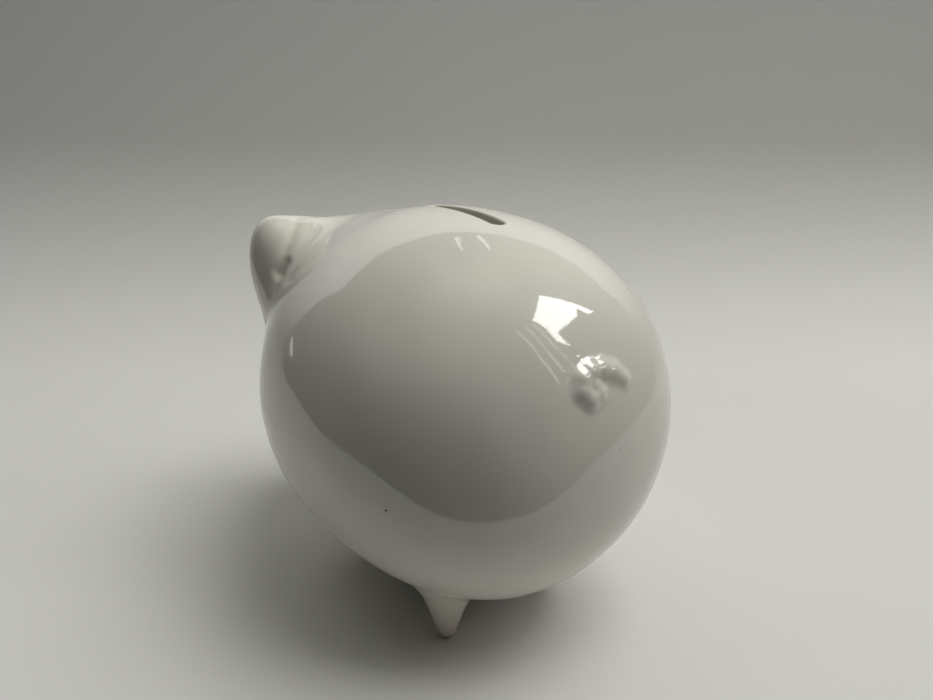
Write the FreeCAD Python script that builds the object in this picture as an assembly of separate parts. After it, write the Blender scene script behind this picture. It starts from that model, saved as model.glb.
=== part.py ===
import FreeCAD, Part
import math
import os

# Piggy bank: slip-cast, glazed ceramic pig that faces -Y and stands on z = 0.
# All lengths in millimetres. The pig's left is +X.

# ---- driving dimensions -------------------------------------------------
half_width = 56.0            # half of the body's width, the size everything follows
half_length = 63.0           # half of the body's length along Y
belly_shift = -0.037         # moves the fullest section along Y
belly_full = 0.237           # makes the two ends fuller than an ellipsoid
wall = 4.5                   # wall of the casting
seam_angle = 200.0           # where the surface of revolution closes, clear of every cut
centre_height = 65.0         # height of the body's axis above the ground
centre_y = 18.5              # body centre, so that the whole pig is centred on y = 0

head_radius = 30.5
head_forward = 57.5          # head centre, ahead of the body centre
head_up = 17.0               # head centre, above the body centre
neck_fillet = 15.0

snout_root_radius = 17.5
snout_tip_radius = 14.5
snout_reach = 100.0          # front of the snout, ahead of the body centre
snout_up = 13.0              # snout axis, above the body centre
snout_round = 4.0
nostril_radius = 2.1
nostril_depth = 2.6
nostril_half_gap = 4.6

eye_radius = 2.6
eye_depth = 1.0
eye_out = 17.0
eye_up = 17.0

ear_half_thick = 8.8
ear_half_tall = 17.6
ear_out = 33.6
ear_forward = 58.2
ear_up = 33.6
ear_tilt = 5.0
lobe_tip = 5.5
ridge_radius = 10.0
ridge_tip = 6.5
ridge_inner = 3.0            # the ridge runs outwards from near the middle of the crown
ridge_outer = 36.0
ridge_up_inner = 36.0
ridge_up_outer = 41.0

foot_out = 19.7
foot_back = 22.1
foot_front = -28.0
odd_foot_out = 18.5          # the rear right foot was set a little further in and forward
odd_foot_back = 19.5
foot_top_radius = 9.6
foot_tip_radius = 3.3
foot_top_z = 22.0
foot_round = 1.2

slot_length = 34.0
slot_width = 4.4
slot_centre_y = 6.4          # behind the body centre
slot_side = 2.0              # the slot sits a little to the left of the middle

hole_radius = 15.0           # hole in the belly, for emptying the bank
seat_radius = 18.0           # flat rubbed round the hole, for the stopper's flange
seat_height = 11.4

tail_y = 60.5                # behind the body centre
tail_ring = 3.6
tail_wire = 2.1
tail_reach = 8.0

plug_gap = 0.05              # play between stopper and hole
plug_top_z = 16.5
plug_flange_radius = 17.0
plug_flange_thick = 2.2
plug_wall = 2.6
plug_dish = 2.5
pull_radius = 4.2
pull_height = 3.6

V = FreeCAD.Vector


def body_radius(u, half):
    """Radius of the body at u = y / half length, for the given half width."""
    return half * math.sqrt(max(0.0, 1.0 - u * u)) * (1.0 + belly_shift * u + belly_full * u * u)


def belly(shrink):
    """Solid of revolution about the fore-and-aft axis, shrunk by a wall."""
    half = half_width - shrink
    length = half_length - shrink
    angle = math.radians(seam_angle)
    out = V(math.cos(angle), 0, math.sin(angle))
    points = []
    count = 18
    for i in range(count + 1):
        u = math.cos(math.pi * i / count)
        points.append(V(0, centre_y + length * u, centre_height) + out * body_radius(u, half))
    curve = Part.BSplineCurve()
    curve.interpolate(Points=points, InitialTangent=out, FinalTangent=out * -1)
    axis = Part.makeLine(points[-1], points[0])
    face = Part.Face(Part.Wire([curve.toShape(), axis]))
    return face.revolve(V(0, centre_y, centre_height), V(0, 1, 0), 360)


def head_centre():
    return V(0, centre_y - head_forward, centre_height + head_up)


def head_ball(radius):
    """Ball whose poles and seam keep clear of the ears: one pole on the brow."""
    ball = Part.makeSphere(radius)
    ball.rotate(V(0, 0, 0), V(0, 0, 1), -90)
    ball.rotate(V(0, 0, 0), V(1, 0, 0), 45)
    ball.translate(head_centre())
    return ball


def outer_form():
    """Outside of the casting: belly and head with a soft neck."""
    form = belly(0.0).fuse(head_ball(head_radius))
    neck = [e for e in form.Edges if e.BoundBox.XLength > 20 and e.BoundBox.ZLength > 20
            and e.BoundBox.YMin < centre_y - 20 and not on_one_face(e, form)]
    return form.makeFillet(neck_fillet, neck)


def on_one_face(edge, solid):
    """True for a seam, which bounds only one face."""
    return len(solid.ancestorsOfType(edge, Part.Face)) < 2


def inner_form():
    return belly(wall).fuse(head_ball(head_radius - wall))


def slot_cutter():
    """Straight through-slot with round ends, open upwards."""
    half = (slot_length - slot_width) / 2.0
    y0 = centre_y + slot_centre_y
    low = centre_height + 20.0
    block = Part.makeBox(slot_width, 2 * half, 80.0, V(slot_side - slot_width / 2.0, y0 - half, low))
    front = Part.makeCylinder(slot_width / 2.0, 80.0, V(slot_side, y0 - half, low))
    rear = Part.makeCylinder(slot_width / 2.0, 80.0, V(slot_side, y0 + half, low))
    return block.fuse([front, rear]).removeSplitter()


def hole_cutter():
    return Part.makeCylinder(hole_radius, 40.0, V(0, centre_y, 0))


def seat_cutter():
    return Part.makeCylinder(seat_radius, seat_height, V(0, centre_y, 0))


def eye_cutters():
    """Shallow round dents for the eyes, square to the face."""
    cutters = []
    for side in (-1, 1):
        direction = V(side * eye_out, -22.0, eye_up)
        direction.normalize()
        start = head_centre() + direction * (head_radius - eye_depth + eye_radius * 1.6)
        cutters.append(Part.makeSphere(eye_radius * 1.6, start))
    return cutters


def body_shell(form):
    shell = form.cut([inner_form(), slot_cutter(), hole_cutter(), seat_cutter()] + eye_cutters())
    return shell.removeSplitter()


def snout(form):
    root = centre_y - head_forward - 10.0
    front = centre_y - snout_reach
    length = root - front
    cone = Part.makeCone(snout_root_radius, snout_tip_radius, length,
                         V(0, root, centre_height + snout_up), V(0, -1, 0))
    rim = [e for e in cone.Edges if abs(e.BoundBox.YMax - front) < 0.01 and e.BoundBox.XLength > 5]
    cone = cone.makeFillet(snout_round, rim)
    for side in (-1, 1):
        start = V(side * nostril_half_gap, front - 1.0, centre_height + snout_up + 1.0)
        nostril = Part.makeCylinder(nostril_radius, nostril_depth + 1.0, start, V(0, 1, 0))
        tip = Part.makeSphere(nostril_radius, start + V(0, nostril_depth + 1.0, 0))
        cone = cone.cut(nostril.fuse(tip))
    return largest(cone.cut(form))


def largest(shape):
    return max(shape.Solids, key=lambda s: s.Volume)


def spindle(start, end, radius, tip):
    """Round bar that swells from small ball ends to a full middle, all in tangent arcs."""
    half = (end - start).Length / 2.0
    reach = half - tip
    swell = (reach * reach + radius * radius - tip * tip) / (2.0 * (radius - tip))
    low = V(0, radius - swell, 0)
    toward = V(reach, 0, 0) - low
    toward.normalize()
    touch = low + toward * swell
    slant = math.atan2(toward.y, toward.x) / 2.0
    cap = V(reach + tip * math.cos(slant), tip * math.sin(slant), 0)
    left = Part.Arc(V(-half, 0, 0), V(-cap.x, cap.y, 0), V(-touch.x, touch.y, 0)).toShape()
    middle = Part.Arc(V(-touch.x, touch.y, 0), V(0, radius, 0), touch).toShape()
    right = Part.Arc(touch, cap, V(half, 0, 0)).toShape()
    axis = Part.makeLine(V(half, 0, 0), V(-half, 0, 0))
    solid = Part.Face(Part.Wire([left, middle, right, axis])).revolve(V(0, 0, 0), V(1, 0, 0), 360)
    turn = FreeCAD.Rotation(V(1, 0, 0), end - start)
    solid.Placement = FreeCAD.Placement((start + end) * 0.5, turn)
    return solid


def ear(form):
    """Left ear: hanging lobe with the rounded ridge that joins it to the crown."""
    centre = V(ear_out, centre_y - ear_forward, centre_height + ear_up)
    lean = math.radians(ear_tilt)
    hang = V(math.sin(lean), 0, math.cos(lean)) * ear_half_tall
    lobe = spindle(centre - hang, centre + hang, ear_half_thick, lobe_tip)
    inner = V(ridge_inner, centre_y - ear_forward + 3.0, centre_height + ridge_up_inner)
    outer = V(ridge_outer, centre_y - ear_forward + 1.0, centre_height + ridge_up_outer)
    ridge = spindle(inner, outer, ridge_radius, ridge_tip)
    return largest(lobe.fuse(ridge).cut(form))


def foot(x, y, form):
    cone = Part.makeCone(foot_tip_radius, foot_top_radius, foot_top_z, V(x, y, 0))
    rim = [e for e in cone.Edges if e.BoundBox.ZMax < 0.01]
    cone = cone.makeFillet(foot_round, rim)
    return largest(cone.cut(form))


def tail_frame():
    """Point on the rump where the tail sits, and the outward direction there."""
    u = tail_y / half_length
    radius = body_radius(u, half_width)
    step = 0.002
    slope = (body_radius(u + step, half_width) - radius) / (step * half_length)
    normal = V(0, -slope, 1)
    normal.normalize()
    return V(0, centre_y + tail_y, centre_height + radius), normal


def tail(form):
    """Flat curl: a sunk ring with a free end that runs out to one side."""
    point, normal = tail_frame()
    ring = Part.makeTorus(tail_ring, tail_wire)
    end = Part.makeCone(tail_wire, tail_wire * 0.55, tail_reach, V(-1.0, tail_ring, 0), V(-1, 0.12, -0.12))
    knob = Part.makeSphere(tail_wire * 0.95, V(-1.0, tail_ring, 0))
    curl = ring.fuse([end, knob])
    turn = FreeCAD.Rotation(V(0, 0, 1), normal)
    curl.Placement = FreeCAD.Placement(point, turn)
    return largest(curl.cut(form))


def stopper():
    """Rubber bung: dished plug, thin outer flange and a small pull."""
    radius = hole_radius - plug_gap
    seat_z = seat_height - plug_gap
    under_z = seat_z - plug_flange_thick
    plug = Part.makeCylinder(radius, plug_top_z - seat_z, V(0, centre_y, seat_z))
    edge = [e for e in plug.Edges if e.BoundBox.ZMin > plug_top_z - 0.01]
    plug = plug.makeChamfer(0.8, edge)
    flange = Part.makeCylinder(plug_flange_radius, plug_flange_thick, V(0, centre_y, under_z))
    rim = [e for e in flange.Edges if e.BoundBox.ZMax < under_z + 0.01]
    flange = flange.makeFillet(0.9, rim)
    pull = Part.makeCylinder(pull_radius, pull_height + 1.0, V(0, centre_y, under_z - pull_height))
    tip = [e for e in pull.Edges if e.BoundBox.ZMax < under_z - pull_height + 0.01]
    pull = pull.makeFillet(0.8, tip)
    floor = V(0, centre_y, plug_top_z - plug_dish)
    dish = Part.makeCone(radius - plug_wall - 1.0, radius - plug_wall, plug_dish, floor)
    return plug.fuse([flange, pull]).cut(dish).removeSplitter()


def save(shape, node):
    shape.exportStep("parts/" + node + ".step")
    box = shape.BoundBox
    print("%-18s %s solids %d vol %.0f  x %.1f..%.1f y %.1f..%.1f z %.1f..%.1f" % (
        node, "ok" if shape.isValid() else "BAD", len(shape.Solids), shape.Volume,
        box.XMin, box.XMax, box.YMin, box.YMax, box.ZMin, box.ZMax))


def main():
    os.makedirs("parts", exist_ok=True)
    form = outer_form()
    save(body_shell(form), "body_shell")
    save(snout(form), "snout")
    left_ear = ear(form)
    save(left_ear, "ear_left")
    save(left_ear.mirror(V(0, 0, 0), V(1, 0, 0)), "ear_right")
    save(foot(foot_out, centre_y + foot_back, form), "foot_rear_left")
    save(foot(-odd_foot_out, centre_y + odd_foot_back, form), "foot_rear_right")
    save(foot(foot_out, centre_y + foot_front, form), "foot_front_left")
    save(foot(-foot_out, centre_y + foot_front, form), "foot_front_right")
    save(tail(form), "tail")
    save(stopper(), "stopper")


main()
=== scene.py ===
import math

import bmesh
import bpy
import numpy as np
import openvdb
from mathutils import Matrix, Vector


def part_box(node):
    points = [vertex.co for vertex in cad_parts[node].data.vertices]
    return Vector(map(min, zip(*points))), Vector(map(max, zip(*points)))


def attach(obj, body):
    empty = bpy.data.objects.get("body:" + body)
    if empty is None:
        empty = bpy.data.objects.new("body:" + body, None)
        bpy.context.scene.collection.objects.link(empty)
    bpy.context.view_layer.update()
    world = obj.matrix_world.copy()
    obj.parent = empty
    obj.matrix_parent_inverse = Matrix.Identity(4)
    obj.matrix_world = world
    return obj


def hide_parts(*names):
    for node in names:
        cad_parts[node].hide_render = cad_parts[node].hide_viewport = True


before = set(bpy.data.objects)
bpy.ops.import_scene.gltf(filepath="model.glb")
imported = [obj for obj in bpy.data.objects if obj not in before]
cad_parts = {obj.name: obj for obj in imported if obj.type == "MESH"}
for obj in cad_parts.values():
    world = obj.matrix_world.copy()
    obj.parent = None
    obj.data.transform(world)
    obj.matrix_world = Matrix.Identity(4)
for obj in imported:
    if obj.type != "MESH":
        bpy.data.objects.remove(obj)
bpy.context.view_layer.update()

# White glazed piggy bank: slip-cast body, ears, snout, feet and curl luted on, rubber bung below.
# The form is worked out in millimetres and laid down in metres. The pig faces -Y, its left is +X.
MM = 0.001

# ---- the potter's sizes, in millimetres ---------------------------------------------
MIDDLE = (0.0, 18.5, 65.0)            # middle of the belly
BELLY = (56.0, 62.9, 56.8)            # half width, half length, half height
BELLY_SHIFT = -0.037
BELLY_FULL = 0.237
WALL = 4.5

HEAD_AT = (0.0, -39.2, 81.8)
HEAD = (31.4, 30.8, 29.7)
NECK_BLEND = 27.0

SNOUT_FRONT = -81.4
SNOUT_ROOT = -50.0
SNOUT_HEIGHT = 78.0
SNOUT_TIP = 14.6
SNOUT_FLARE = 2.4
NOSTRIL = (2.2, 3.2, 2.8)
NOSTRIL_GAP = 4.7
EYE_RADIUS = 2.9

CREST = ((5.0, -38.0, 95.5), (26.5, -38.0, 104.6), 10.0)
CREST_BLEND = 13.0
LOBE_AT = (33.8, -38.0, 98.5)
LOBE = (8.6, 10.5, 17.6)
LOBE_TILT = 10.0
LOBE_BLEND = 10.0
EAR_CREASE = ((27.5, -34.3, 116.9), (31.5, -28.6, 113.8), (35.0, -25.6, 109.4), (38.2, -24.5, 103.7),
              (40.5, -24.2, 97.0), (42.6, -22.9, 92.0))
EAR_DIMPLE = ((39.3, -24.8, 100.6), (37.6, -23.8, 103.4))

FOOT_OUT = 19.7
FOOT_REAR = 40.6
FOOT_FRONT = -9.5
FOOT_TOP = (21.3, 9.5)                # height and radius where the peg meets the belly
FOOT_TIP = 3.1
ODD_FOOT = (-18.5, 38.0)              # the rear right peg was set a little further in

SLOT_AT = (2.4, 24.6)
SLOT_LENGTH = 34.0
SLOT_WIDTH = 4.1
HOLE_RADIUS = 15.0
SEAT_RADIUS = 18.0                    # flat rubbed round the hole for the bung
SEAT_HEIGHT = 11.4

TAIL_AT = (0.0, 79.0, 83.5)
TAIL_PATH = ((-1.6, -0.9), (-4.2, -1.6), (-6.0, 0.4), (-5.4, 3.0), (-2.8, 4.5), (0.6, 4.6), (4.0, 3.4), (7.4, 1.0))
TAIL_THICK = (1.4, 1.6, 1.7, 1.7, 1.7, 1.6, 1.5, 0.9)
TAIL_SUNK = 1.35
TAIL_BUD = (-3.0, 1.4)

RIPPLE = 0.05                         # slow unevenness of the hand-fettled casting

SEED = 41


# ---- clay forms ---------------------------------------------------------------------
def length_of(v):
    return np.sqrt((v * v).sum(-1))


def egg(p, at, radii):
    """Distance to an ellipsoid, near enough close to its surface."""
    q = (p - np.array(at)) / np.array(radii)
    near = length_of(q)
    far = length_of(q / np.array(radii))
    return near * (near - 1.0) / np.maximum(far, 1e-9)


def roll(p, start, end, radius, end_radius):
    """Rolled coil of clay from start to end."""
    start, end = np.array(start), np.array(end)
    along = end - start
    t = np.clip(((p - start) @ along) / (along @ along), 0.0, 1.0)
    return length_of(p - start - t[..., None] * along) - (radius + (end_radius - radius) * t)


def luted(a, b, blend):
    """Two clay forms joined, with the join smoothed over."""
    h = np.maximum(blend - np.abs(a - b), 0.0) / blend
    return np.minimum(a, b) - h * h * blend * 0.25


def pared(a, tool, edge):
    """Clay with a tool's form cut out of it and the edge softened."""
    return -luted(-a, tool, edge)


def barrel(p, shrink):
    """Belly: an egg whose two ends are fuller, shrunk by the wall for the inside."""
    q = p - np.array(MIDDLE)
    u = np.clip(q[..., 1] / BELLY[1], -1.15, 1.15)
    full = 1.0 + BELLY_SHIFT * u + BELLY_FULL * u * u
    warped = np.stack([q[..., 0] / full, q[..., 1], q[..., 2] / full], -1)
    return egg(warped, (0, 0, 0), [r - shrink for r in BELLY])


def snout_form(p):
    """Round snout with a flat, softly dished end."""
    y = p[..., 1]
    out = np.hypot(p[..., 0], p[..., 2] - SNOUT_HEIGHT)
    dish = 0.8 * np.exp(-(out / 8.0) ** 2)
    half = (SNOUT_ROOT - SNOUT_FRONT) / 2.0
    flare = SNOUT_FLARE * np.clip((y - SNOUT_FRONT) / (2.0 * half), 0.0, 1.0)
    soft = 3.6
    side = out - (SNOUT_TIP + flare - soft)
    end = np.abs(y - (SNOUT_FRONT + half)) - (half - soft) + np.where(y < SNOUT_ROOT - half, dish, 0.0)
    outside = np.hypot(np.maximum(side, 0.0), np.maximum(end, 0.0))
    return outside + np.minimum(np.maximum(side, end), 0.0) - soft


def ear_form(p):
    """Folded ear: a hanging lobe under the rounded crest that joins it to the crown."""
    sided = p.copy()
    sided[..., 0] = np.sqrt(p[..., 0] ** 2 + 9.0)
    crest = roll(sided, CREST[0], CREST[1], CREST[2], CREST[2])
    turn = math.radians(LOBE_TILT)
    q = sided - np.array(LOBE_AT)
    tilted = np.stack([
        q[..., 0] * math.cos(turn) - q[..., 2] * math.sin(turn),
        q[..., 1],
        q[..., 0] * math.sin(turn) + q[..., 2] * math.cos(turn)], -1)
    return crest, egg(tilted, (0, 0, 0), LOBE)


def ear_dents(p, form):
    """Crease round the back of each ear, with the thumbed dimple where the lobe was pressed on."""
    sided = p.copy()
    sided[..., 0] = np.abs(p[..., 0])
    crease = np.minimum.reduce([roll(sided, a, b, -2.7, -2.7) for a, b in zip(EAR_CREASE, EAR_CREASE[1:])])
    form = pared(form, crease, 6.4)
    return pared(form, roll(sided, *EAR_DIMPLE, -0.1, -0.6), 4.2)


def feet_form(p):
    spots = ((FOOT_OUT, FOOT_REAR), ODD_FOOT, (FOOT_OUT, FOOT_FRONT), (-FOOT_OUT, FOOT_FRONT))
    pegs = [roll(p, (x, y, FOOT_TOP[0]), (x, y, FOOT_TIP), FOOT_TOP[1], FOOT_TIP) for x, y in spots]
    return np.minimum.reduce(pegs)


def tail_axes():
    """Axes at the tail: to the pig's right, up over the rump, and outwards."""
    at = np.array([TAIL_AT])
    step = 0.5
    slope = [barrel(at + d, 0.0)[0] - barrel(at - d, 0.0)[0] for d in np.eye(3) * step]
    outward = np.array(slope) / np.linalg.norm(slope)
    right = np.array([-1.0, 0.0, 0.0])
    return right, np.cross(outward, right), outward


def tail_form(p):
    """Curl pressed on in low relief: it winds round a small bud, its end running out to the pig's right."""
    right, up, outward = tail_axes()
    q = p - np.array(TAIL_AT)
    local = np.stack([q @ right, q @ up, q @ outward + TAIL_SUNK], -1)
    form = egg(local, (*TAIL_BUD, -0.2), (1.7, 1.7, 1.7))
    for i in range(len(TAIL_PATH) - 1):
        piece = roll(local, (*TAIL_PATH[i], 0.0), (*TAIL_PATH[i + 1], 0.0), TAIL_THICK[i], TAIL_THICK[i + 1])
        form = luted(form, piece, 0.8)
    return form


def ripple(p):
    """Slow waves over the whole casting."""
    rng = np.random.default_rng(SEED)
    total = 0.0
    for wave in (46.0, 34.0, 27.0, 21.0, 15.0):
        heading = rng.normal(size=3)
        heading *= 2.0 * math.pi / (wave * np.linalg.norm(heading))
        total = total + np.sin(p @ heading + rng.uniform(0.0, 6.28)) * wave / 46.0
    return total * RIPPLE


def outside_form(p):
    """Everything the glaze covers outside, before slot and hole are cut."""
    form = luted(barrel(p, 0.0), egg(p, HEAD_AT, HEAD), NECK_BLEND)
    form = luted(form, snout_form(p), 7.0)
    crest, lobe = ear_form(p)
    form = luted(form, crest, CREST_BLEND)
    form = luted(form, lobe, LOBE_BLEND)
    form = ear_dents(p, form)
    form = luted(form, feet_form(p), 3.6)
    form = luted(form, tail_form(p), 2.8)
    return form + ripple(p)


def eye_spots():
    """Where a ray from the head's middle leaves the face, on each side."""
    spots = []
    for side in (-1.0, 1.0):
        heading = np.array([side * 17.0, -22.0, 15.0])
        heading /= np.linalg.norm(heading)
        reach = np.linspace(15.0, 60.0, 400)[:, None]
        points = np.array(HEAD_AT) + reach * heading
        spots.append(points[np.argmax(outside_form(points) > 0.0)])
    return spots


EYES = eye_spots()


def slot_tool(p):
    half = (SLOT_LENGTH - SLOT_WIDTH) / 2.0
    along = np.maximum(np.abs(p[..., 1] - SLOT_AT[1]) - half, 0.0)
    flat = np.hypot(p[..., 0] - SLOT_AT[0], along) - SLOT_WIDTH / 2.0
    return np.maximum(flat, 88.0 - p[..., 2])


def hole_tool(p):
    flat = np.hypot(p[..., 0], p[..., 1] - MIDDLE[1]) - HOLE_RADIUS
    return np.maximum(flat, p[..., 2] - 40.0)


def seat_tool(p):
    flat = np.hypot(p[..., 0], p[..., 1] - MIDDLE[1]) - SEAT_RADIUS
    return np.maximum(flat, p[..., 2] - SEAT_HEIGHT)


def cavity(p):
    room = [r - WALL for r in HEAD]
    return luted(barrel(p, WALL), egg(p, HEAD_AT, room), 14.0)


def pig_form(p):
    form = outside_form(p)
    for side in (-1.0, 1.0):
        at = (side * NOSTRIL_GAP, SNOUT_FRONT + 0.6, SNOUT_HEIGHT + 1.0)
        form = pared(form, egg(p, at, NOSTRIL), 1.0)
    for spot in EYES:
        form = pared(form, egg(p, spot, [EYE_RADIUS, EYE_RADIUS * 0.55, EYE_RADIUS]), 0.8)
    form = pared(form, cavity(p), 1.5)
    form = pared(form, slot_tool(p), 0.9)
    form = pared(form, seat_tool(p), 0.6)
    form = pared(form, hole_tool(p), 1.6)
    return pared(form, p[..., 2], 0.5)


# ---- skin laid on the form ----------------------------------------------------------
def slopes(form, p, step):
    axes = np.eye(3) * step
    return np.stack([form(p + d) - form(p - d) for d in axes], -1) / (2.0 * step)


def settle(form, p, rounds):
    """Moves points onto the form's surface."""
    for _ in range(rounds):
        grad = slopes(form, p, 0.02)
        square = np.maximum((grad * grad).sum(-1), 0.05)
        move = np.clip(form(p) / square, -0.7, 0.7)
        p = p - move[:, None] * grad
    return p


def cast(form, low, high, size):
    """Quads over the form's surface, about size across."""
    low, high = np.array(low, float), np.array(high, float)
    count = np.ceil((high - low) / size).astype(int) + 1
    grid = openvdb.FloatGrid(size * 4.0)
    values = np.empty(count, np.float32)
    ys, zs = low[1] + np.arange(count[1]) * size, low[2] + np.arange(count[2]) * size
    for i in range(count[0]):
        sheet = np.stack(np.meshgrid([low[0] + i * size], ys, zs, indexing="ij"), -1)
        values[i] = form(sheet)[0]
    grid.copyFromArray(values)
    points, quads = grid.convertToQuads()
    return points * size + low, quads


def unit(v):
    return v / np.maximum(np.linalg.norm(v, axis=-1, keepdims=True), 1e-9)


def refine(points, faces, form, limit, rounds):
    """Splits the faces over which the surface turns more than limit degrees."""
    for _ in range(rounds):
        normal = unit(slopes(form, points, 0.05))
        mesh = bmesh.new()
        verts = [mesh.verts.new(p) for p in points]
        for f in faces:
            mesh.faces.new([verts[i] for i in f])
        mesh.verts.index_update()
        sharp = math.cos(math.radians(limit))
        edges = set()
        for face in mesh.faces:
            n = normal[[v.index for v in face.verts]]
            if (n @ n.T).min() < sharp:
                edges.update(face.edges)
        bmesh.ops.subdivide_edges(mesh, edges=list(edges), cuts=1, use_grid_fill=True)
        bmesh.ops.triangulate(mesh, faces=[f for f in mesh.faces if len(f.verts) > 4])
        mesh.verts.index_update()
        points = settle(form, np.array([v.co for v in mesh.verts], float), 3)
        faces = [[v.index for v in f.verts] for f in mesh.faces]
        mesh.free()
    return points, faces


def lay_mesh(name, points, faces, normals=None):
    mesh = bpy.data.meshes.new(name)
    mesh.from_pydata((points * MM).tolist(), [], [list(f) for f in faces])
    mesh.shade_smooth()
    if normals is not None:
        mesh.normals_split_custom_set_from_vertices(normals.tolist())
    mesh.update()
    obj = bpy.data.objects.new(name, mesh)
    bpy.context.scene.collection.objects.link(obj)
    return obj


def note(obj, name, values):
    attribute = obj.data.attributes.new(name, "FLOAT", "POINT")
    attribute.data.foreach_set("value", np.asarray(values, np.float32))


def cast_pig():
    size = 1.25
    points, quads = cast(pig_form, (-66, -88, -4), (66, 90, 126), size)
    points = settle(pig_form, points, 4)
    points, faces = refine(points, quads.tolist(), pig_form, 11.0, 2)
    centre = points.mean(0)
    first = np.array(faces[0])
    normals = unit(slopes(pig_form, points, 0.05))
    facing = np.cross(points[first[1]] - points[first[0]], points[first[2]] - points[first[0]])
    if facing @ normals[first[0]] < 0.0:
        faces = [f[::-1] for f in faces]
    obj = lay_mesh("glazed_pig", points, faces, normals)
    bend = sum((slopes(pig_form, points + d, 0.3) - slopes(pig_form, points - d, 0.3))[:, i]
               for i, d in enumerate(np.eye(3) * 0.6)) / 1.2
    note(obj, "bend", np.clip(bend, -1.0, 1.0))
    inside = cavity(points) < 1.0
    note(obj, "inside", inside.astype(float))
    return obj


# ---- materials ----------------------------------------------------------------------
class Mixture:
    """A material being made up, node by node."""

    def __init__(self, name):
        self.material = bpy.data.materials.new(name)
        self.material.use_nodes = True
        self.tree = self.material.node_tree
        self.shader = self.tree.nodes["Principled BSDF"]
        self.where = self.add("ShaderNodeTexCoord").outputs["Object"]

    def add(self, kind, **settings):
        node = self.tree.nodes.new(kind)
        for key, value in settings.items():
            setattr(node, key, value)
        return node

    def link(self, source, target):
        self.tree.links.new(source, target)

    def noise(self, scale, detail=3.0, rough=0.5):
        node = self.add("ShaderNodeTexNoise")
        node.inputs["Scale"].default_value = scale
        node.inputs["Detail"].default_value = detail
        node.inputs["Roughness"].default_value = rough
        self.link(self.where, node.inputs["Vector"])
        return node.outputs["Fac"]

    def spread(self, source, low, high, to_low=0.0, to_high=1.0):
        node = self.add("ShaderNodeMapRange")
        for name, value in zip(("From Min", "From Max", "To Min", "To Max"), (low, high, to_low, to_high)):
            node.inputs[name].default_value = value
        self.link(source, node.inputs["Value"])
        return node.outputs["Result"]

    def blend(self, factor, a, b):
        node = self.add("ShaderNodeMix", data_type="RGBA")
        self.link(factor, node.inputs["Factor"])
        for socket, value in zip((node.inputs[6], node.inputs[7]), (a, b)):
            if isinstance(value, tuple):
                socket.default_value = (*value, 1.0)
            else:
                self.link(value, socket)
        return node.outputs[2]

    def attribute(self, name):
        return self.add("ShaderNodeAttribute", attribute_name=name).outputs["Fac"]

    def height(self):
        split = self.add("ShaderNodeSeparateXYZ")
        self.link(self.where, split.inputs[0])
        return split.outputs["Z"]

    def bump(self, source, distance, strength=1.0, under=None):
        node = self.add("ShaderNodeBump")
        node.inputs["Distance"].default_value = distance
        node.inputs["Strength"].default_value = strength
        self.link(source, node.inputs["Height"])
        if under is not None:
            self.link(under, node.inputs["Normal"])
        return node.outputs["Normal"]

    def set(self, name, value):
        self.shader.inputs[name].default_value = value

    def use(self, name, source):
        self.link(source, self.shader.inputs[name])


def white_glaze():
    """Glossy tin-white glaze, thinner on edges, darker and yellower in creases and hollows, bare on the foot tips."""
    m = Mixture("white_glaze")
    cloud = m.spread(m.noise(26.0, 4.0, 0.55), 0.35, 0.65)
    white = m.blend(cloud, (0.79, 0.775, 0.685), (0.83, 0.815, 0.73))
    bend = m.attribute("bend")
    # Glaze colour turns darker and yellower in creases and hollows, where the surface bends inward.
    darker_in_hollows = m.spread(bend, -0.04, -0.35)
    white = m.blend(darker_in_hollows, white, (0.71, 0.69, 0.60))
    thin = m.spread(bend, 0.25, 0.8)
    white = m.blend(thin, white, (0.78, 0.73, 0.655))
    edge = m.add("ShaderNodeMath", operation="ADD")
    m.link(m.height(), edge.inputs[0])
    m.link(m.spread(m.noise(400.0, 3.0), 0.3, 0.7, -0.0008, 0.0008), edge.inputs[1])
    bare = m.spread(edge.outputs[0], 0.0028, 0.0014)
    # Colour grows darker and warmer towards the floor, over the feet and the underside of the belly.
    warm = m.spread(edge.outputs[0], 0.022, 0.003, 0.0, 0.55)
    white = m.blend(warm, white, (0.70, 0.60, 0.53))
    clay = m.blend(m.spread(m.noise(900.0, 5.0), 0.35, 0.7), (0.60, 0.43, 0.36), (0.72, 0.58, 0.50))
    m.use("Base Color", m.blend(bare, white, clay))
    gloss = m.spread(m.noise(60.0, 3.0), 0.3, 0.7, 0.035, 0.075)
    rough = m.add("ShaderNodeMix", data_type="FLOAT")
    m.link(bare, rough.inputs["Factor"])
    m.link(gloss, rough.inputs[2])
    rough.inputs[3].default_value = 0.8
    m.use("Roughness", rough.outputs[0])
    m.set("IOR", 1.7)
    peel = m.bump(m.noise(420.0, 2.0), 0.000012)
    m.use("Normal", m.bump(m.noise(110.0, 2.0), 0.00003, 1.0, peel))
    return m.material


def iron_speck():
    """Burnt speck under the glaze."""
    m = Mixture("iron_speck")
    m.use("Base Color", m.blend(m.spread(m.noise(1500.0), 0.4, 0.6), (0.055, 0.045, 0.032), (0.17, 0.14, 0.10)))
    m.use("Roughness", m.spread(m.noise(900.0), 0.3, 0.7, 0.15, 0.35))
    return m.material


def bung_rubber():
    """Dull grey moulded rubber with a dusty bloom."""
    m = Mixture("bung_rubber")
    bloom = m.spread(m.noise(180.0, 5.0, 0.6), 0.42, 0.72)
    m.use("Base Color", m.blend(bloom, (0.085, 0.083, 0.08), (0.15, 0.147, 0.14)))
    m.use("Roughness", m.spread(m.noise(300.0, 4.0), 0.3, 0.7, 0.5, 0.72))
    m.use("Normal", m.bump(m.noise(2200.0, 4.0), 0.00004))
    return m.material


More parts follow.
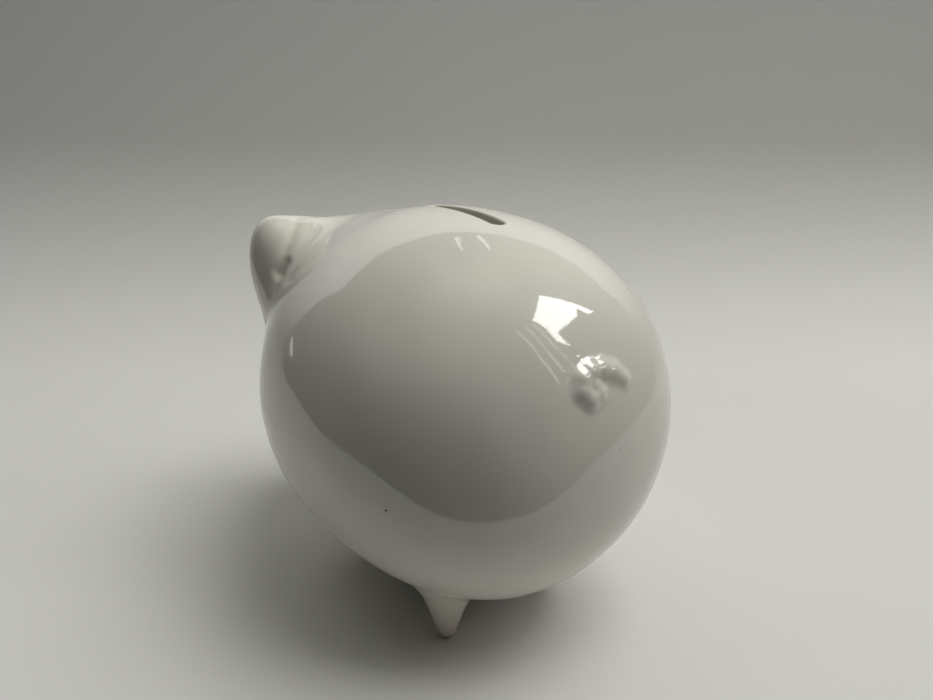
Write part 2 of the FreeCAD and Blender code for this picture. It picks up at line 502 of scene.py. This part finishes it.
# ---- things that repeat -------------------------------------------------------------
def new_tree(name, inputs):
    """Geometry Nodes tree with one geometry in and out and the named number inputs."""
    tree = bpy.data.node_groups.new(name, "GeometryNodeTree")
    tree.interface.new_socket("Geometry", in_out="INPUT", socket_type="NodeSocketGeometry")
    for label, kind, value in inputs:
        socket = tree.interface.new_socket(label, in_out="INPUT", socket_type=kind)
        socket.default_value = value
    tree.interface.new_socket("Geometry", in_out="OUTPUT", socket_type="NodeSocketGeometry")
    return tree, tree.nodes.new("NodeGroupInput"), tree.nodes.new("NodeGroupOutput")


def bake(tree, base, values, name, objects=()):
    """Runs the tree on a copy of base and keeps the result as a plain mesh."""
    holder = bpy.data.objects.new(name + "_maker", base)
    bpy.context.scene.collection.objects.link(holder)
    modifier = holder.modifiers.new("maker", "NODES")
    modifier.node_group = tree
    for item in tree.interface.items_tree:
        if item.in_out == "INPUT" and item.name in values:
            modifier[item.identifier] = values[item.name]
    depth = bpy.context.evaluated_depsgraph_get()
    depth.update()
    mesh = bpy.data.meshes.new_from_object(holder.evaluated_get(depth))
    mesh.name = name
    holder.modifiers.remove(modifier)
    bpy.data.objects.remove(holder)
    obj = bpy.data.objects.new(name, mesh)
    bpy.context.scene.collection.objects.link(obj)
    return obj


def speck_tree(material):
    tree, start, finish = new_tree("scattered_specks", [
        ("Spacing", "NodeSocketFloat", 0.006),
        ("Density", "NodeSocketFloat", 900.0),
        ("Smallest", "NodeSocketFloat", 0.3),
        ("Largest", "NodeSocketFloat", 1.0),
        ("Seed", "NodeSocketInt", 5)])
    nodes, links = tree.nodes, tree.links
    spread = nodes.new("GeometryNodeDistributePointsOnFaces")
    spread.distribute_method = "POISSON"
    speck = nodes.new("GeometryNodeMeshUVSphere")
    speck.inputs["Segments"].default_value = 7
    speck.inputs["Rings"].default_value = 4
    speck.inputs["Radius"].default_value = 0.0003
    flat = nodes.new("GeometryNodeTransform")
    flat.inputs["Scale"].default_value = (1.0, 1.0, 0.22)
    place = nodes.new("GeometryNodeInstanceOnPoints")
    size = nodes.new("FunctionNodeRandomValue")
    real = nodes.new("GeometryNodeRealizeInstances")
    paint = nodes.new("GeometryNodeSetMaterial")
    paint.inputs["Material"].default_value = material
    links.new(start.outputs["Geometry"], spread.inputs["Mesh"])
    links.new(start.outputs["Spacing"], spread.inputs["Distance Min"])
    links.new(start.outputs["Density"], spread.inputs["Density Max"])
    links.new(start.outputs["Seed"], spread.inputs["Seed"])
    links.new(start.outputs["Smallest"], size.inputs[2])
    links.new(start.outputs["Largest"], size.inputs[3])
    links.new(start.outputs["Seed"], size.inputs["Seed"])
    links.new(speck.outputs["Mesh"], flat.inputs["Geometry"])
    links.new(spread.outputs["Points"], place.inputs["Points"])
    links.new(spread.outputs["Rotation"], place.inputs["Rotation"])
    links.new(flat.outputs["Geometry"], place.inputs["Instance"])
    links.new(size.outputs[1], place.inputs["Scale"])
    links.new(place.outputs["Instances"], real.inputs["Geometry"])
    links.new(real.outputs["Geometry"], paint.inputs["Geometry"])
    links.new(paint.outputs["Geometry"], finish.inputs["Geometry"])
    return tree


# The one pinhole that burnt quite dark, low on the left of the rump.
DARK_PINHOLE = (46.5, 56.5, 56.0)
DARK_PINHOLE_RADIUS = 0.42


def pinhole_mark(material):
    """Small dark pit with a burnt rim, sitting in the skin."""
    at = settle(pig_form, np.array([DARK_PINHOLE]), 6)
    out = unit(slopes(pig_form, at, 0.05))[0]
    side = unit(np.cross(out, (0.3, 0.2, 1.0)))
    up = np.cross(out, side)
    points, faces, turns = [], [], 10
    for share, lift in ((1.0, -0.03), (0.75, 0.035), (0.4, 0.03)):
        for i in range(turns):
            a = 2.0 * math.pi * i / turns
            ring = (side * math.cos(a) + up * math.sin(a) * 0.85) * DARK_PINHOLE_RADIUS * share
            points.append(at[0] + ring + out * lift)
    points.append(at[0] + out * 0.01)
    points.append(at[0] - out * 0.12)
    for i in range(turns):
        j = (i + 1) % turns
        for low, high in ((0, turns), (turns, 2 * turns)):
            faces.append([low + i, low + j, high + j, high + i])
        faces.append([2 * turns + i, 2 * turns + j, 3 * turns])
        faces.append([j, i, 3 * turns + 1])
    obj = lay_mesh("glaze_pinhole", np.array(points), faces)
    obj.data.materials.append(material)
    return obj


def outer_skin(pig):
    """The pig's outside only, for scattering on."""
    points = np.array([v.co for v in pig.data.vertices], float) / MM
    outside = (cavity(points) > 2.0) & (points[:, 2] > 14.0) & (slot_tool(points) > 1.5)
    faces = [list(f.vertices) for f in pig.data.polygons if outside[list(f.vertices)].all()]
    mesh = bpy.data.meshes.new("outer_skin")
    mesh.from_pydata((points * MM).tolist(), [], faces)
    return mesh


# ---- the bung -----------------------------------------------------------------------
def lathe(profile, count):
    """Turned form: profile is (radius, height) pairs from bottom axis to top axis, in millimetres."""
    points, faces = [], []
    turn = [2.0 * math.pi * i / count for i in range(count)]
    rows = []
    for radius, height in profile:
        if radius < 1e-6:
            rows.append([len(points)])
            points.append((MIDDLE[0], MIDDLE[1], height))
            continue
        rows.append(list(range(len(points), len(points) + count)))
        points += [(MIDDLE[0] + radius * math.cos(a), MIDDLE[1] + radius * math.sin(a), height) for a in turn]
    for low, high in zip(rows, rows[1:]):
        for i in range(count):
            j = (i + 1) % count
            if len(low) == 1:
                faces.append([low[0], high[j], high[i]])
            elif len(high) == 1:
                faces.append([low[i], low[j], high[0]])
            else:
                faces.append([low[i], low[j], high[j], high[i]])
    return np.array(points), faces


def rounded(corners, radius, steps=5):
    """A profile's corners turned to small arcs."""
    out = [corners[0]]
    for before, at, after in zip(corners, corners[1:], corners[2:]):
        a, b, c = Vector(before), Vector(at), Vector(after)
        reach = min(radius, (a - b).length * 0.45, (c - b).length * 0.45)
        start, end = b + (a - b).normalized() * reach, b + (c - b).normalized() * reach
        for i in range(steps + 1):
            t = i / steps
            out.append(tuple((start * (1 - t) + b * t) * (1 - t) + (b * (1 - t) + end * t) * t))
    out.append(corners[-1])
    return out


def bung_profile():
    low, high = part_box("stopper")
    bottom, top = low.z / MM, high.z / MM
    under = bottom + 3.6
    seat = under + 2.2
    return rounded([
        (0.0, bottom + 0.5), (2.6, bottom + 0.5), (3.0, bottom), (4.2, bottom), (4.2, under - 0.3),
        (5.6, under + 0.25), (12.2, under + 0.25), (12.6, under + 0.7), (13.6, under + 0.7),
        (14.0, under), (17.0, under), (17.0, seat), (14.95, seat), (14.6, seat + 0.9), (14.95, seat + 1.8),
        (14.95, seat + 2.6), (14.6, seat + 3.2), (14.95, seat + 3.9), (14.2, top), (12.35, top),
        (11.35, top - 2.5), (0.0, top - 2.5)], 0.45)


def rib_tree(material):
    """Small grip ribs set round the flange."""
    tree, start, finish = new_tree("grip_ribs", [
        ("Ribs", "NodeSocketInt", 40),
        ("Radius", "NodeSocketFloat", 0.0169)])
    nodes, links = tree.nodes, tree.links
    circle = nodes.new("GeometryNodeMeshCircle")
    rib = nodes.new("GeometryNodeMeshUVSphere")
    rib.inputs["Segments"].default_value = 8
    rib.inputs["Rings"].default_value = 5
    rib.inputs["Radius"].default_value = 0.00042
    tall = nodes.new("GeometryNodeTransform")
    tall.inputs["Scale"].default_value = (1.0, 1.0, 1.9)
    place = nodes.new("GeometryNodeInstanceOnPoints")
    joined = nodes.new("GeometryNodeJoinGeometry")
    real = nodes.new("GeometryNodeRealizeInstances")
    paint = nodes.new("GeometryNodeSetMaterial")
    paint.inputs["Material"].default_value = material
    links.new(start.outputs["Ribs"], circle.inputs["Vertices"])
    links.new(start.outputs["Radius"], circle.inputs["Radius"])
    links.new(circle.outputs["Mesh"], place.inputs["Points"])
    links.new(rib.outputs["Mesh"], tall.inputs["Geometry"])
    links.new(tall.outputs["Geometry"], place.inputs["Instance"])
    links.new(place.outputs["Instances"], joined.inputs["Geometry"])
    links.new(joined.outputs["Geometry"], real.inputs["Geometry"])
    links.new(real.outputs["Geometry"], paint.inputs["Geometry"])
    links.new(paint.outputs["Geometry"], finish.inputs["Geometry"])
    return tree


def move_mesh(obj, offset):
    obj.data.transform(Matrix.Translation(Vector(offset)))


# ---- stage --------------------------------------------------------------------------
VIEW_FROM = Vector((0.11473, 0.18878, 0.13602))
VIEW_ALONG = Vector((-0.54611, -0.79363, -0.26817))
VIEW_LENS = 27.0
AWAY = Vector((-0.5668, -0.8238, 0.0))          # level direction from the viewer to the pig
ACROSS = Vector((-0.8238, 0.5668, 0.0))
PIG_FOOT = Vector((0.0, 0.0185, 0.0))
GLOW_AT = Vector((0.0, 0.0185, 0.065))
GLOW_REACH = 3.0


def heading(azimuth, elevation):
    a, e = math.radians(azimuth), math.radians(elevation)
    return Vector((math.sin(a) * math.cos(e), -math.cos(a) * math.cos(e), math.sin(e)))


def set_camera():
    camera = bpy.data.objects.new("camera", bpy.data.cameras.new("camera"))
    camera.data.lens = VIEW_LENS
    camera.data.sensor_width = 36.0
    camera.data.clip_start = 0.01
    camera.location = VIEW_FROM
    camera.rotation_euler = VIEW_ALONG.to_track_quat("-Z", "Y").to_euler()
    bpy.context.scene.collection.objects.link(camera)
    bpy.context.scene.camera = camera


def paper_material(name, tone):
    m = Mixture(name)
    darker = tuple(c * 0.97 for c in tone)
    m.use("Base Color", m.blend(m.spread(m.noise(3.0, 4.0), 0.3, 0.7), darker, tone))
    m.set("Roughness", 0.75)
    m.set("Specular IOR Level", 0.1)
    m.use("Normal", m.bump(m.noise(900.0, 3.0), 0.00002))
    return m.material


def stage_mesh(name, points, faces, material):
    mesh = bpy.data.meshes.new(name)
    mesh.from_pydata([tuple(p) for p in points], [], faces)
    mesh.shade_smooth()
    mesh.materials.append(material)
    obj = bpy.data.objects.new(name, mesh)
    bpy.context.scene.collection.objects.link(obj)
    return obj


SWEEP_START = 0.22
SWEEP_RADIUS = 0.15
SWEEP_TOP = 0.50
SWEEP_HALF = 0.62
# The sheet's end on the viewer's side, a straight edge between two cut corners:
# distance across, distance beyond the pig.
SWEEP_EDGE = ((-0.62, 0.22), (-0.15, -0.13), (0.25, -0.09), (0.62, 0.22))
SWEEP_CORNER = 0.08


def on_stage(across, away, height):
    return PIG_FOOT + AWAY * away + ACROSS * across + Vector((0, 0, height))


def paper_sweep(material):
    """Sheet of paper under and behind the pig, curved up into a wall."""
    profile = [(SWEEP_START, 0.0)]
    for i in range(1, 25):
        a = math.pi / 2.0 * i / 24
        profile.append((SWEEP_START + SWEEP_RADIUS * math.sin(a), SWEEP_RADIUS * (1.0 - math.cos(a))))
    profile.append((SWEEP_START + SWEEP_RADIUS, SWEEP_TOP))
    n = len(profile)
    points = [on_stage(side * SWEEP_HALF, d, z) for side in (-1.0, 1.0) for d, z in profile]
    faces = [[i, i + n, i + n + 1, i + 1] for i in range(n - 1)]
    edge = rounded([Vector(corner) for corner in SWEEP_EDGE], SWEEP_CORNER)[1:-1]
    faces.append([n, 0] + list(range(2 * n, 2 * n + len(edge))))
    points += [on_stage(across, away, 0.0) for across, away in edge]
    return stage_mesh("paper_sweep", points, faces, material)


def added_glow(name):
    """Light added to whatever stands behind it, as strong as the mesh's own tone says."""
    material = glow_material(name, None, 1.0)
    tree = material.node_tree
    out = next(node for node in tree.nodes if node.type == "OUTPUT_MATERIAL")
    glow = next(node for node in tree.nodes if node.type == "EMISSION")
    both = tree.nodes.new("ShaderNodeAddShader")
    clear = tree.nodes.new("ShaderNodeBsdfTransparent")
    tree.links.new(glow.outputs["Emission"], both.inputs[0])
    tree.links.new(clear.outputs["BSDF"], both.inputs[1])
    tree.links.new(both.outputs["Shader"], out.inputs["Surface"])
    return material


def wall_shine():
    """Window light on the upper wall of the sheet, for the mirror in the glaze only."""
    rows = ((0.10, 0.0), (0.22, 0.25), (0.35, 0.6), (SWEEP_TOP, 0.8))
    beyond = SWEEP_START + SWEEP_RADIUS - 0.004
    points = [on_stage(side * SWEEP_HALF, beyond, z) for z, tone in rows for side in (-1.0, 1.0)]
    faces = [[2 * i, 2 * i + 1, 2 * i + 3, 2 * i + 2] for i in range(len(rows) - 1)]
    obj = stage_mesh("wall_shine", points, faces, added_glow("wall_glow"))
    tones = [(tone, tone, tone * 0.95, 1.0) for z, tone in rows for side in (-1.0, 1.0)]
    attribute = obj.data.attributes.new("tone", "FLOAT_COLOR", "POINT")
    attribute.data.foreach_set("color", np.array(tones, np.float32).ravel())
    only_mirrored(obj)


def outer_floor(material):
    """The rest of the floor, a hair lower, which the glaze does not mirror."""
    size = 2.6
    z = -0.0004
    points = [(-size, -size, z), (size, -size, z), (size, size, z), (-size, size, z)]
    obj = stage_mesh("outer_floor", points, [[0, 1, 2, 3]], material)
    obj.visible_glossy = False
    obj.visible_diffuse = False
    return obj


def far_wall(material):
    """Pale wall all round, seen only when the viewer looks past the sheet."""
    turns, reach, tall = 48, 2.4, 2.2
    points = []
    for i in range(turns):
        a = 2.0 * math.pi * i / turns
        points += [(reach * math.cos(a), reach * math.sin(a), -0.01), (reach * math.cos(a), reach * math.sin(a), tall)]
    faces = [[2 * i, (2 * i + 2) % (2 * turns), (2 * i + 3) % (2 * turns), 2 * i + 1] for i in range(turns)]
    obj = stage_mesh("far_wall", points, faces, material)
    only_seen(obj)


def only_seen(obj):
    """Seen by the viewer, but neither mirrored nor lighting anything."""
    obj.visible_glossy = False
    obj.visible_diffuse = False
    obj.visible_shadow = False


def glow_material(name, colour, strength):
    material = bpy.data.materials.new(name)
    material.use_nodes = True
    tree = material.node_tree
    tree.nodes.clear()
    out = tree.nodes.new("ShaderNodeOutputMaterial")
    glow = tree.nodes.new("ShaderNodeEmission")
    glow.inputs["Strength"].default_value = strength
    if colour is None:
        source = tree.nodes.new("ShaderNodeAttribute")
        source.attribute_name = "tone"
        tree.links.new(source.outputs["Color"], glow.inputs["Color"])
    else:
        glow.inputs["Color"].default_value = (*colour, 1.0)
    tree.links.new(glow.outputs["Emission"], out.inputs["Surface"])
    return material


def only_mirrored(obj):
    obj.visible_camera = False
    obj.visible_diffuse = False
    obj.visible_shadow = False
    obj.visible_transmission = False
    obj.visible_volume_scatter = False


def step_up(x, low, high):
    t = np.clip((x - low) / (high - low), 0.0, 1.0)
    return t * t * (3.0 - 2.0 * t)


def room_tone(az, el):
    """How bright the room is in each direction, for the mirror in the glaze only."""
    ceiling = 0.8 * step_up(el, 52.0, 86.0)
    dim = 0.12 + 0.22 * step_up(az, 165.0, 205.0) * (1.0 - step_up(az, 300.0, 340.0))
    dim = dim + 0.12 * step_up(el, 5.0, 35.0)
    tone = np.maximum(dim, ceiling)
    tone = tone * (0.45 + 0.55 * step_up(el, -40.0, 0.0))
    return np.stack([tone, tone * 0.95, tone * 0.74], -1)


def room_shell():
    """Shell far around the pig that stands for the dim room in the mirror."""
    rows, turns = 90, 180
    els = np.linspace(-89.5, 89.5, rows)
    azs = np.arange(turns) * 360.0 / turns
    points, faces, tones = [], [], []
    for el in els:
        for az in azs:
            points.append(GLOW_AT + heading(az, el) * GLOW_REACH)
    for r in range(rows - 1):
        for t in range(turns):
            u = (t + 1) % turns
            faces.append([r * turns + t, (r + 1) * turns + t, (r + 1) * turns + u, r * turns + u])
    obj = stage_mesh("room_shell", points, faces, glow_material("room_glow", None, 1.0))
    tones = room_tone(*np.meshgrid(azs, els)).reshape(-1, 3)
    attribute = obj.data.attributes.new("tone", "FLOAT_COLOR", "POINT")
    attribute.data.foreach_set("color", np.hstack([tones, np.ones((len(tones), 1))]).astype(np.float32).ravel())
    only_mirrored(obj)
    return obj


# Corners of each bright patch of the window, and the two ends of the bars and roof lines,
# as headings from the pig.
WINDOW_PANES = (
    ((197, 52), (226, 60), (240, 41), (231, 37), (208, 37)),
    ((204, 42), (211, 38), (214, 28), (207, 34)),
    ((236, 43), (240, 41), (243, 33), (239, 34)),
    ((215, 22), (226, 20), (229, 16), (218, 15)),
)
BAR_COUNT = 3
ROOF_LINE_AT = 332.0


def window_glints():
    """Start, middle and end of each thin glint, and its width in degrees."""
    for i in range(BAR_COUNT):
        yield (178 + 8 * i, 50), (190 + 6.5 * i, 29 + 2 * i), (199 + 5 * i, 14 + 4 * i), 1.1
    for side in (-1, 1):
        yield (ROOF_LINE_AT + 5 * side, 49), (ROOF_LINE_AT + 8 * side, 55), (ROOF_LINE_AT + 12 * side, 62), 2.0
    yield (25, 6.5), (27, 4), (29, 2), 0.9


def window_cards():
    """Bright panes and thin glints that the glaze mirrors."""
    pane = glow_material("window_glow", (1.0, 0.995, 0.96), 8.5)
    glint = glow_material("glint_glow", (1.0, 0.98, 0.9), 2.2)
    reach = GLOW_REACH * 0.9
    for i, corners in enumerate(WINDOW_PANES):
        points = [GLOW_AT + heading(*c) * reach for c in corners]
        only_mirrored(stage_mesh("window_pane_%d" % i, points, [list(range(len(points)))], pane))
    for i, (start, middle, end, wide) in enumerate(window_glints()):
        points = []
        for at in (start, middle, end):
            points += [GLOW_AT + heading(at[0] - wide / 2, at[1]) * reach, GLOW_AT + heading(at[0] + wide / 2, at[1] + wide / 2) * reach]
        only_mirrored(stage_mesh("window_glint_%d" % i, points, [[0, 1, 3, 2], [2, 3, 5, 4]], glint))


LIGHTS = (
    # name, azimuth, elevation, distance, width, watts, colour
    ("window_light", 222.0, 44.0, 2.2, 1.2, 6.4, (1.0, 0.99, 0.96)),
    ("high_light", 226.0, 67.0, 2.2, 1.4, 27.0, (1.0, 0.99, 0.965)),
    ("side_light", 300.0, 35.0, 2.2, 1.3, 7.5, (1.0, 0.99, 0.965)),
    ("fill_light", 35.0, 55.0, 2.2, 1.3, 2.0, (1.0, 0.99, 0.965)),
    ("ceiling_light", 0.0, 86.0, 2.2, 2.0, 8.6, (1.0, 0.99, 0.965)),
)


def set_lights():
    for name, az, el, reach, width, watts, colour in LIGHTS:
        data = bpy.data.lights.new(name, "AREA")
        data.shape = "SQUARE"
        data.size = width
        data.energy = watts
        data.color = colour
        lamp = bpy.data.objects.new(name, data)
        away = heading(az, el)
        lamp.location = GLOW_AT + away * reach
        lamp.rotation_euler = away.to_track_quat("Z", "Y").to_euler()
        lamp.visible_glossy = False
        bpy.context.scene.collection.objects.link(lamp)
    world = bpy.data.worlds.new("room_air")
    world.use_nodes = True
    world.node_tree.nodes["Background"].inputs["Color"].default_value = (0.95, 0.96, 1.0, 1.0)
    world.node_tree.nodes["Background"].inputs["Strength"].default_value = 0.01
    bpy.context.scene.world = world
    bpy.context.scene.view_settings.view_transform = "Standard"


# ---- put together -------------------------------------------------------------------
def make_pig():
    glaze = white_glaze()
    pig = cast_pig()
    pig.data.materials.append(glaze)
    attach(pig, "bank")
    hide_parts("body_shell", "snout", "ear_left", "ear_right", "foot_front_left",
                "foot_front_right", "foot_rear_left", "foot_rear_right", "tail")
    burnt = iron_speck()
    pinhole = pinhole_mark(burnt)
    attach(pinhole, "bank")
    tree = speck_tree(burnt)
    specks = bake(tree, outer_skin(pig), {"Spacing": 0.009, "Density": 600.0, "Smallest": 0.2,
                                          "Largest": 0.6, "Seed": 7}, "glaze_specks")
    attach(specks, "bank")


def make_bung():
    rubber = bung_rubber()
    points, faces = lathe(bung_profile(), 96)
    bung = lay_mesh("rubber_bung", points, faces)
    bung.data.materials.append(rubber)
    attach(bung, "stopper")
    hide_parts("stopper")
    low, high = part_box("stopper")
    ribs = bake(rib_tree(rubber), bpy.data.meshes.new("empty"), {"Ribs": 44, "Radius": 0.0169}, "bung_ribs")
    move_mesh(ribs, (MIDDLE[0] * MM, MIDDLE[1] * MM, low.z + 0.0047))
    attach(ribs, "stopper")


def set_stage():
    paper = paper_material("pale_paper", (0.75, 0.748, 0.722))
    paper_sweep(paper)
    outer_floor(paper)
    far_wall(paper)
    wall_shine()
    room_shell()
    window_cards()
    set_lights()


make_pig()
make_bung()
set_stage()
set_camera()
